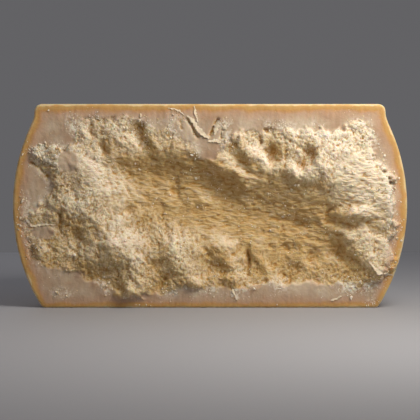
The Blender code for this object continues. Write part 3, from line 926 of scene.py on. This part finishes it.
def rind_material(colours):
    """Natural rind, rubbed with oil as it aged: hard, golden brown, faintly mottled and scratched."""
    material, tree, shader = new_material("oiled_cheese_rind", {"IOR": 1.45})
    place = add_node(tree, "ShaderNodeTexCoord")["Object"]
    round_wheel = add_node(tree, "ShaderNodeMapping", {"Vector": place, "Scale": (0.08, 0.08, 1.0)})
    broad, mottle, lines, specks = (
        add_node(
            tree,
            "ShaderNodeTexNoise",
            {"Vector": vector, "Scale": per_metre(size), "Detail": detail, "Roughness": rough},
        )["Fac"]
        for vector, size, detail, rough in (
            (place, RIND_CLOUD, 6.0, 0.6),
            (place, RIND_MOTTLE, 4.0, 0.5),
            (round_wheel[0], RIND_RUBBED_LINE, 3.0, 0.5),
            (place, RIND_SPECK, 2.0, 0.5),
        )
    )
    tone = add_node(tree, "ShaderNodeMix", {FACTOR: 0.45, NUMBER_A: broad, NUMBER_B: mottle})
    tone = add_node(
        tree, "ShaderNodeMapRange", {"Value": tone[MIXED_NUMBER], "From Min": 0.36, "From Max": 0.64}
    )["Result"]
    colour = add_node(
        tree,
        "ShaderNodeMix",
        {FACTOR: tone, COLOUR_A: colours.rind_dark, COLOUR_B: colours.rind_light},
        data_type="RGBA",
    )[MIXED_COLOUR]

    # Faint rubbed lines run round the wheel, and small dry specks lie all over it.
    for marks, from_min, from_max, amount in ((lines, 0.56, 0.74, 0.3), (specks, 0.62, 0.74, 0.7)):
        share = add_node(
            tree,
            "ShaderNodeMapRange",
            {"Value": marks, "From Min": from_min, "From Max": from_max, "To Max": amount},
        )["Result"]
        colour = add_node(
            tree,
            "ShaderNodeMix",
            {FACTOR: share, COLOUR_A: colour, COLOUR_B: colours.rind_rubbed},
            data_type="RGBA",
        )[MIXED_COLOUR]
    tree.links.new(colour, shader.inputs["Base Color"])
    fine = add_node(tree, "ShaderNodeMix", {FACTOR: 0.5, NUMBER_A: lines, NUMBER_B: mottle})
    bump = add_node(
        tree, "ShaderNodeBump", {"Height": fine[MIXED_NUMBER], "Strength": 0.6, "Distance": 1.2 * MM}
    )
    tree.links.new(bump["Normal"], shader.inputs["Normal"])
    roughness = add_node(tree, "ShaderNodeMapRange", {"Value": tone, "To Min": 0.42, "To Max": 0.6})
    tree.links.new(roughness["Result"], shader.inputs["Roughness"])
    return material


def colour_setting(name, description, hex_colour):
    """A colour that a user can change, with its sRGB hex default."""
    return FloatVectorProperty(
        name=name, description=description, subtype="COLOR", size=4, default=linear(hex_colour)
    )


def length_setting(name, description, default_mm):
    """A length that a user can change, with its default in millimetres."""
    return FloatProperty(name=name, description=description, default=default_mm * MM, unit="LENGTH")


class BreakSettings(bpy.types.PropertyGroup):
    """How rough the broken face is."""

    crag_height: length_setting("Crag height", "Height of the broken lumps", 1.7)
    grain_height: length_setting("Grain height", "Height of the paste's grains", 0.8)
    pit_depth: length_setting("Pit depth", "Depth of the small scattered pits", 2.5)
    streak_height: length_setting("Streak height", "Height of the torn streaks", 0.9)


class ColourSettings(bpy.types.PropertyGroup):
    """Colours of the paste, the crumbs and the rind."""

    # Light paste: crumb dust and smear, and also the painted highlight on slopes facing the key light and on
    # grain tops.
    paste_light: colour_setting("Broken paste, light", "Dry crumb dust", "#F0E8D6")
    paste: colour_setting("Broken paste", "Fresh break", "#DAC79E")
    # Deep paste: shows in random patches, and as painted shade where the face is sunk.
    paste_deep: colour_setting("Broken paste, deep", "Moist paste", "#C8A972")
    # Painted shade in the creases and between the grains.
    paste_crease_shade: colour_setting("Creases", "Paste deep in the creases", "#B4843F")
    cut_light: colour_setting("Knife cut, light", "Scraped cut", "#D0BEA5")
    cut_deep: colour_setting("Knife cut, deep", "Waxy cut", "#B2957A")
    crumb_light: colour_setting("Crumbs, light", "Dry crumbs", "#F1E8D6")
    crumb_deep: colour_setting("Crumbs, deep", "Fresh crumbs", "#CFB486")
    shaving: colour_setting("Shavings", "Thin shavings", "#E6D6BB")
    rind_skin: colour_setting("Rind skin", "The rind section's outermost line", "#E2CB9C")
    rind: colour_setting("Rind section", "The rind section's outer part", "#CFA86A")
    rind_deep: colour_setting("Rind section, deep", "The rind section's inner part", "#C99A5C")
    rind_inner: colour_setting("Under the rind", "Paste next to the rind", "#C7A284")
    rind_light: colour_setting("Rind, light", "Rubbed rind", "#D2A862")
    rind_rubbed: colour_setting("Rind, rubbed", "Dry specks and rubbed lines", "#DFC08A")
    rind_dark: colour_setting("Rind, dark", "Oiled rind", "#B58545")


class CrumbSettings(bpy.types.PropertyGroup):
    """How many crumbs and chips lie on the face, and how large they are."""

    crumb_density: FloatProperty(
        name="Crumbs", description="Crumbs per square metre of full cover", default=210000.0
    )
    crumb_size: length_setting("Crumb size", "Radius of the largest crumb", 1.05)
    chip_density: FloatProperty(
        name="Chips", description="Chips per square metre of full cover", default=9000.0
    )
    chip_size: length_setting("Chip size", "Radius of the largest chip", 2.6)
    seed: IntProperty(name="Seed", description="Another seed strews them differently", default=7)


class StageSettings(bpy.types.PropertyGroup):
    """The camera, floor and lights."""

    camera_distance: length_setting("Camera distance", "From the face", 2000.0)
    camera_height: length_setting("Camera height", "Above the floor", 212.0)
    floor_behind: length_setting("Floor behind", "How far the floor runs on behind the face", 790.0)
    key_power: FloatProperty(
        name="Key light", description="Power of the large light", default=5.35, unit="POWER"
    )
    sky: FloatProperty(name="Fill", description="Strength of the even light from all round", default=0.2)


class GRANA_OT_half_wheel(bpy.types.Operator):
    """Make the half wheel: broken face, scored rim and rind in one closed mesh"""

    bl_idname = "grana.half_wheel"
    bl_label = "Half wheel"

    def execute(self, context):
        mesh = half_wheel_mesh(context.scene.grana_break)
        mesh.materials.append(paste_material(context.scene.grana_colours))
        mesh.materials.append(rind_material(context.scene.grana_colours))
        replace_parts(add_piece(context, "half_wheel", mesh), NODE)
        return {"FINISHED"}


class GRANA_OT_crumbs(bpy.types.Operator):
    """Strew crumbs and chips over the broken face"""

    bl_idname = "grana.crumbs"
    bl_label = "Crumbs"

    def execute(self, context):
        settings = context.scene.grana_crumbs
        colours = context.scene.grana_colours
        material = crumb_material("dry_cheese_crumb", colours.crumb_deep, colours.crumb_light)
        surface = context.scene.objects["half_wheel"].data
        tree = crumb_tree()
        seed = settings.seed
        inputs = ("Density", "Smallest", "Largest", "Flatness", "Ragged", "Roundness", "Seed")
        kinds = {
            "crumbs": (settings.crumb_density, 0.4 * MM, settings.crumb_size, 0.7, 0.9 * MM, 1, seed),
            "chips": (settings.chip_density, 1.3 * MM, settings.chip_size, 0.5, 3.0 * MM, 2, seed + 1),
        }
        for name, values in kinds.items():
            mesh = strewn_mesh(context, surface, tree, dict(zip(inputs, values), Material=material))
            if not mesh.polygons:
                raise RuntimeError(f"no {name} were strewn")
            mesh.name = name
            add_piece(context, name, mesh)
        context.scene.objects["chips"].data.shade_smooth()
        return {"FINISHED"}


class GRANA_OT_shavings(bpy.types.Operator):
    """Make the thin shavings that the knife lifted from the cut"""

    bl_idname = "grana.shavings"
    bl_label = "Shavings"

    def execute(self, context):
        mesh = shavings_mesh(context.scene.grana_break)
        colours = context.scene.grana_colours
        mesh.materials.append(crumb_material("thin_cheese_shaving", colours.cut_light, colours.shaving))
        add_piece(context, "shavings", mesh)
        return {"FINISHED"}


class GRANA_OT_stage(bpy.types.Operator):
    """Make the floor, the lights and the camera"""

    bl_idname = "grana.stage"
    bl_label = "Stage"

    def execute(self, context):
        scene = context.scene
        settings = scene.grana_stage
        face_y = AXIS_Y * MM
        half_floor = 1.0
        floor_mesh = bpy.data.meshes.new("floor")
        bm = bmesh.new()
        bmesh.ops.create_grid(bm, x_segments=1, y_segments=1, size=half_floor)
        bmesh.ops.translate(bm, verts=bm.verts, vec=(0, face_y + settings.floor_behind - half_floor, 0))
        bm.to_mesh(floor_mesh)
        bm.free()
        finish = {"Base Color": linear("#A0A1A6"), "Roughness": 0.7}
        floor_mesh.materials.append(new_material("painted_floor", finish)[0])
        floor = bpy.data.objects.new("floor", floor_mesh)
        scene.collection.objects.link(floor)

        world = bpy.data.worlds.new("even_grey_light")
        world.use_nodes = True
        background = world.node_tree.nodes["Background"]
        background.inputs["Color"].default_value = linear("#CFCED3")
        background.inputs["Strength"].default_value = settings.sky
        scene.world = world
        scene.view_settings.view_transform = "Standard"

        target = Vector((0, face_y, AIM_HEIGHT * MM))
        aimed = []
        for name, (towards, distance, size, share, colour) in LIGHTS.items():
            light = bpy.data.lights.new(name, "AREA")
            light.size = size
            light.energy = settings.key_power * share
            light.color = linear(colour)[:3]
            aimed.append((light, target + Vector(towards).normalized() * distance))
        camera = bpy.data.cameras.new("camera")
        camera.sensor_width = SENSOR_WIDTH
        camera.lens = SENSOR_WIDTH * settings.camera_distance / (PICTURE_WIDTH * MM)
        aimed.append((camera, Vector((0, face_y - settings.camera_distance, settings.camera_height))))
        for data, place in aimed:
            holder = bpy.data.objects.new(data.name, data)
            holder.location = place
            holder.rotation_euler = (target - place).to_track_quat("-Z", "Y").to_euler()
            scene.collection.objects.link(holder)
        scene.camera = holder
        return {"FINISHED"}


class GRANA_PT_panel(bpy.types.Panel):
    """Lists the pieces of the half wheel"""

    bl_label = "Grana padano"
    bl_idname = "GRANA_PT_panel"
    bl_space_type = "VIEW_3D"
    bl_region_type = "UI"
    bl_category = "Cheese"

    def draw(self, context):
        for operator in OPERATORS:
            self.layout.operator(operator.bl_idname)


SETTINGS = {
    "grana_break": BreakSettings,
    "grana_colours": ColourSettings,
    "grana_crumbs": CrumbSettings,
    "grana_stage": StageSettings,
}
OPERATORS = (GRANA_OT_half_wheel, GRANA_OT_crumbs, GRANA_OT_shavings, GRANA_OT_stage)
CLASSES = (*SETTINGS.values(), *OPERATORS, GRANA_PT_panel)


def register():
    for cls in CLASSES:
        bpy.utils.register_class(cls)
    for name, cls in SETTINGS.items():
        setattr(bpy.types.Scene, name, PointerProperty(type=cls))


def unregister():
    for name in SETTINGS:
        delattr(bpy.types.Scene, name)
    for cls in reversed(CLASSES):
        bpy.utils.unregister_class(cls)


def main():
    register()
    bpy.ops.grana.half_wheel()
    bpy.ops.grana.crumbs()
    bpy.ops.grana.shavings()
    bpy.ops.grana.stage()


if __name__ == "__main__":
    main()
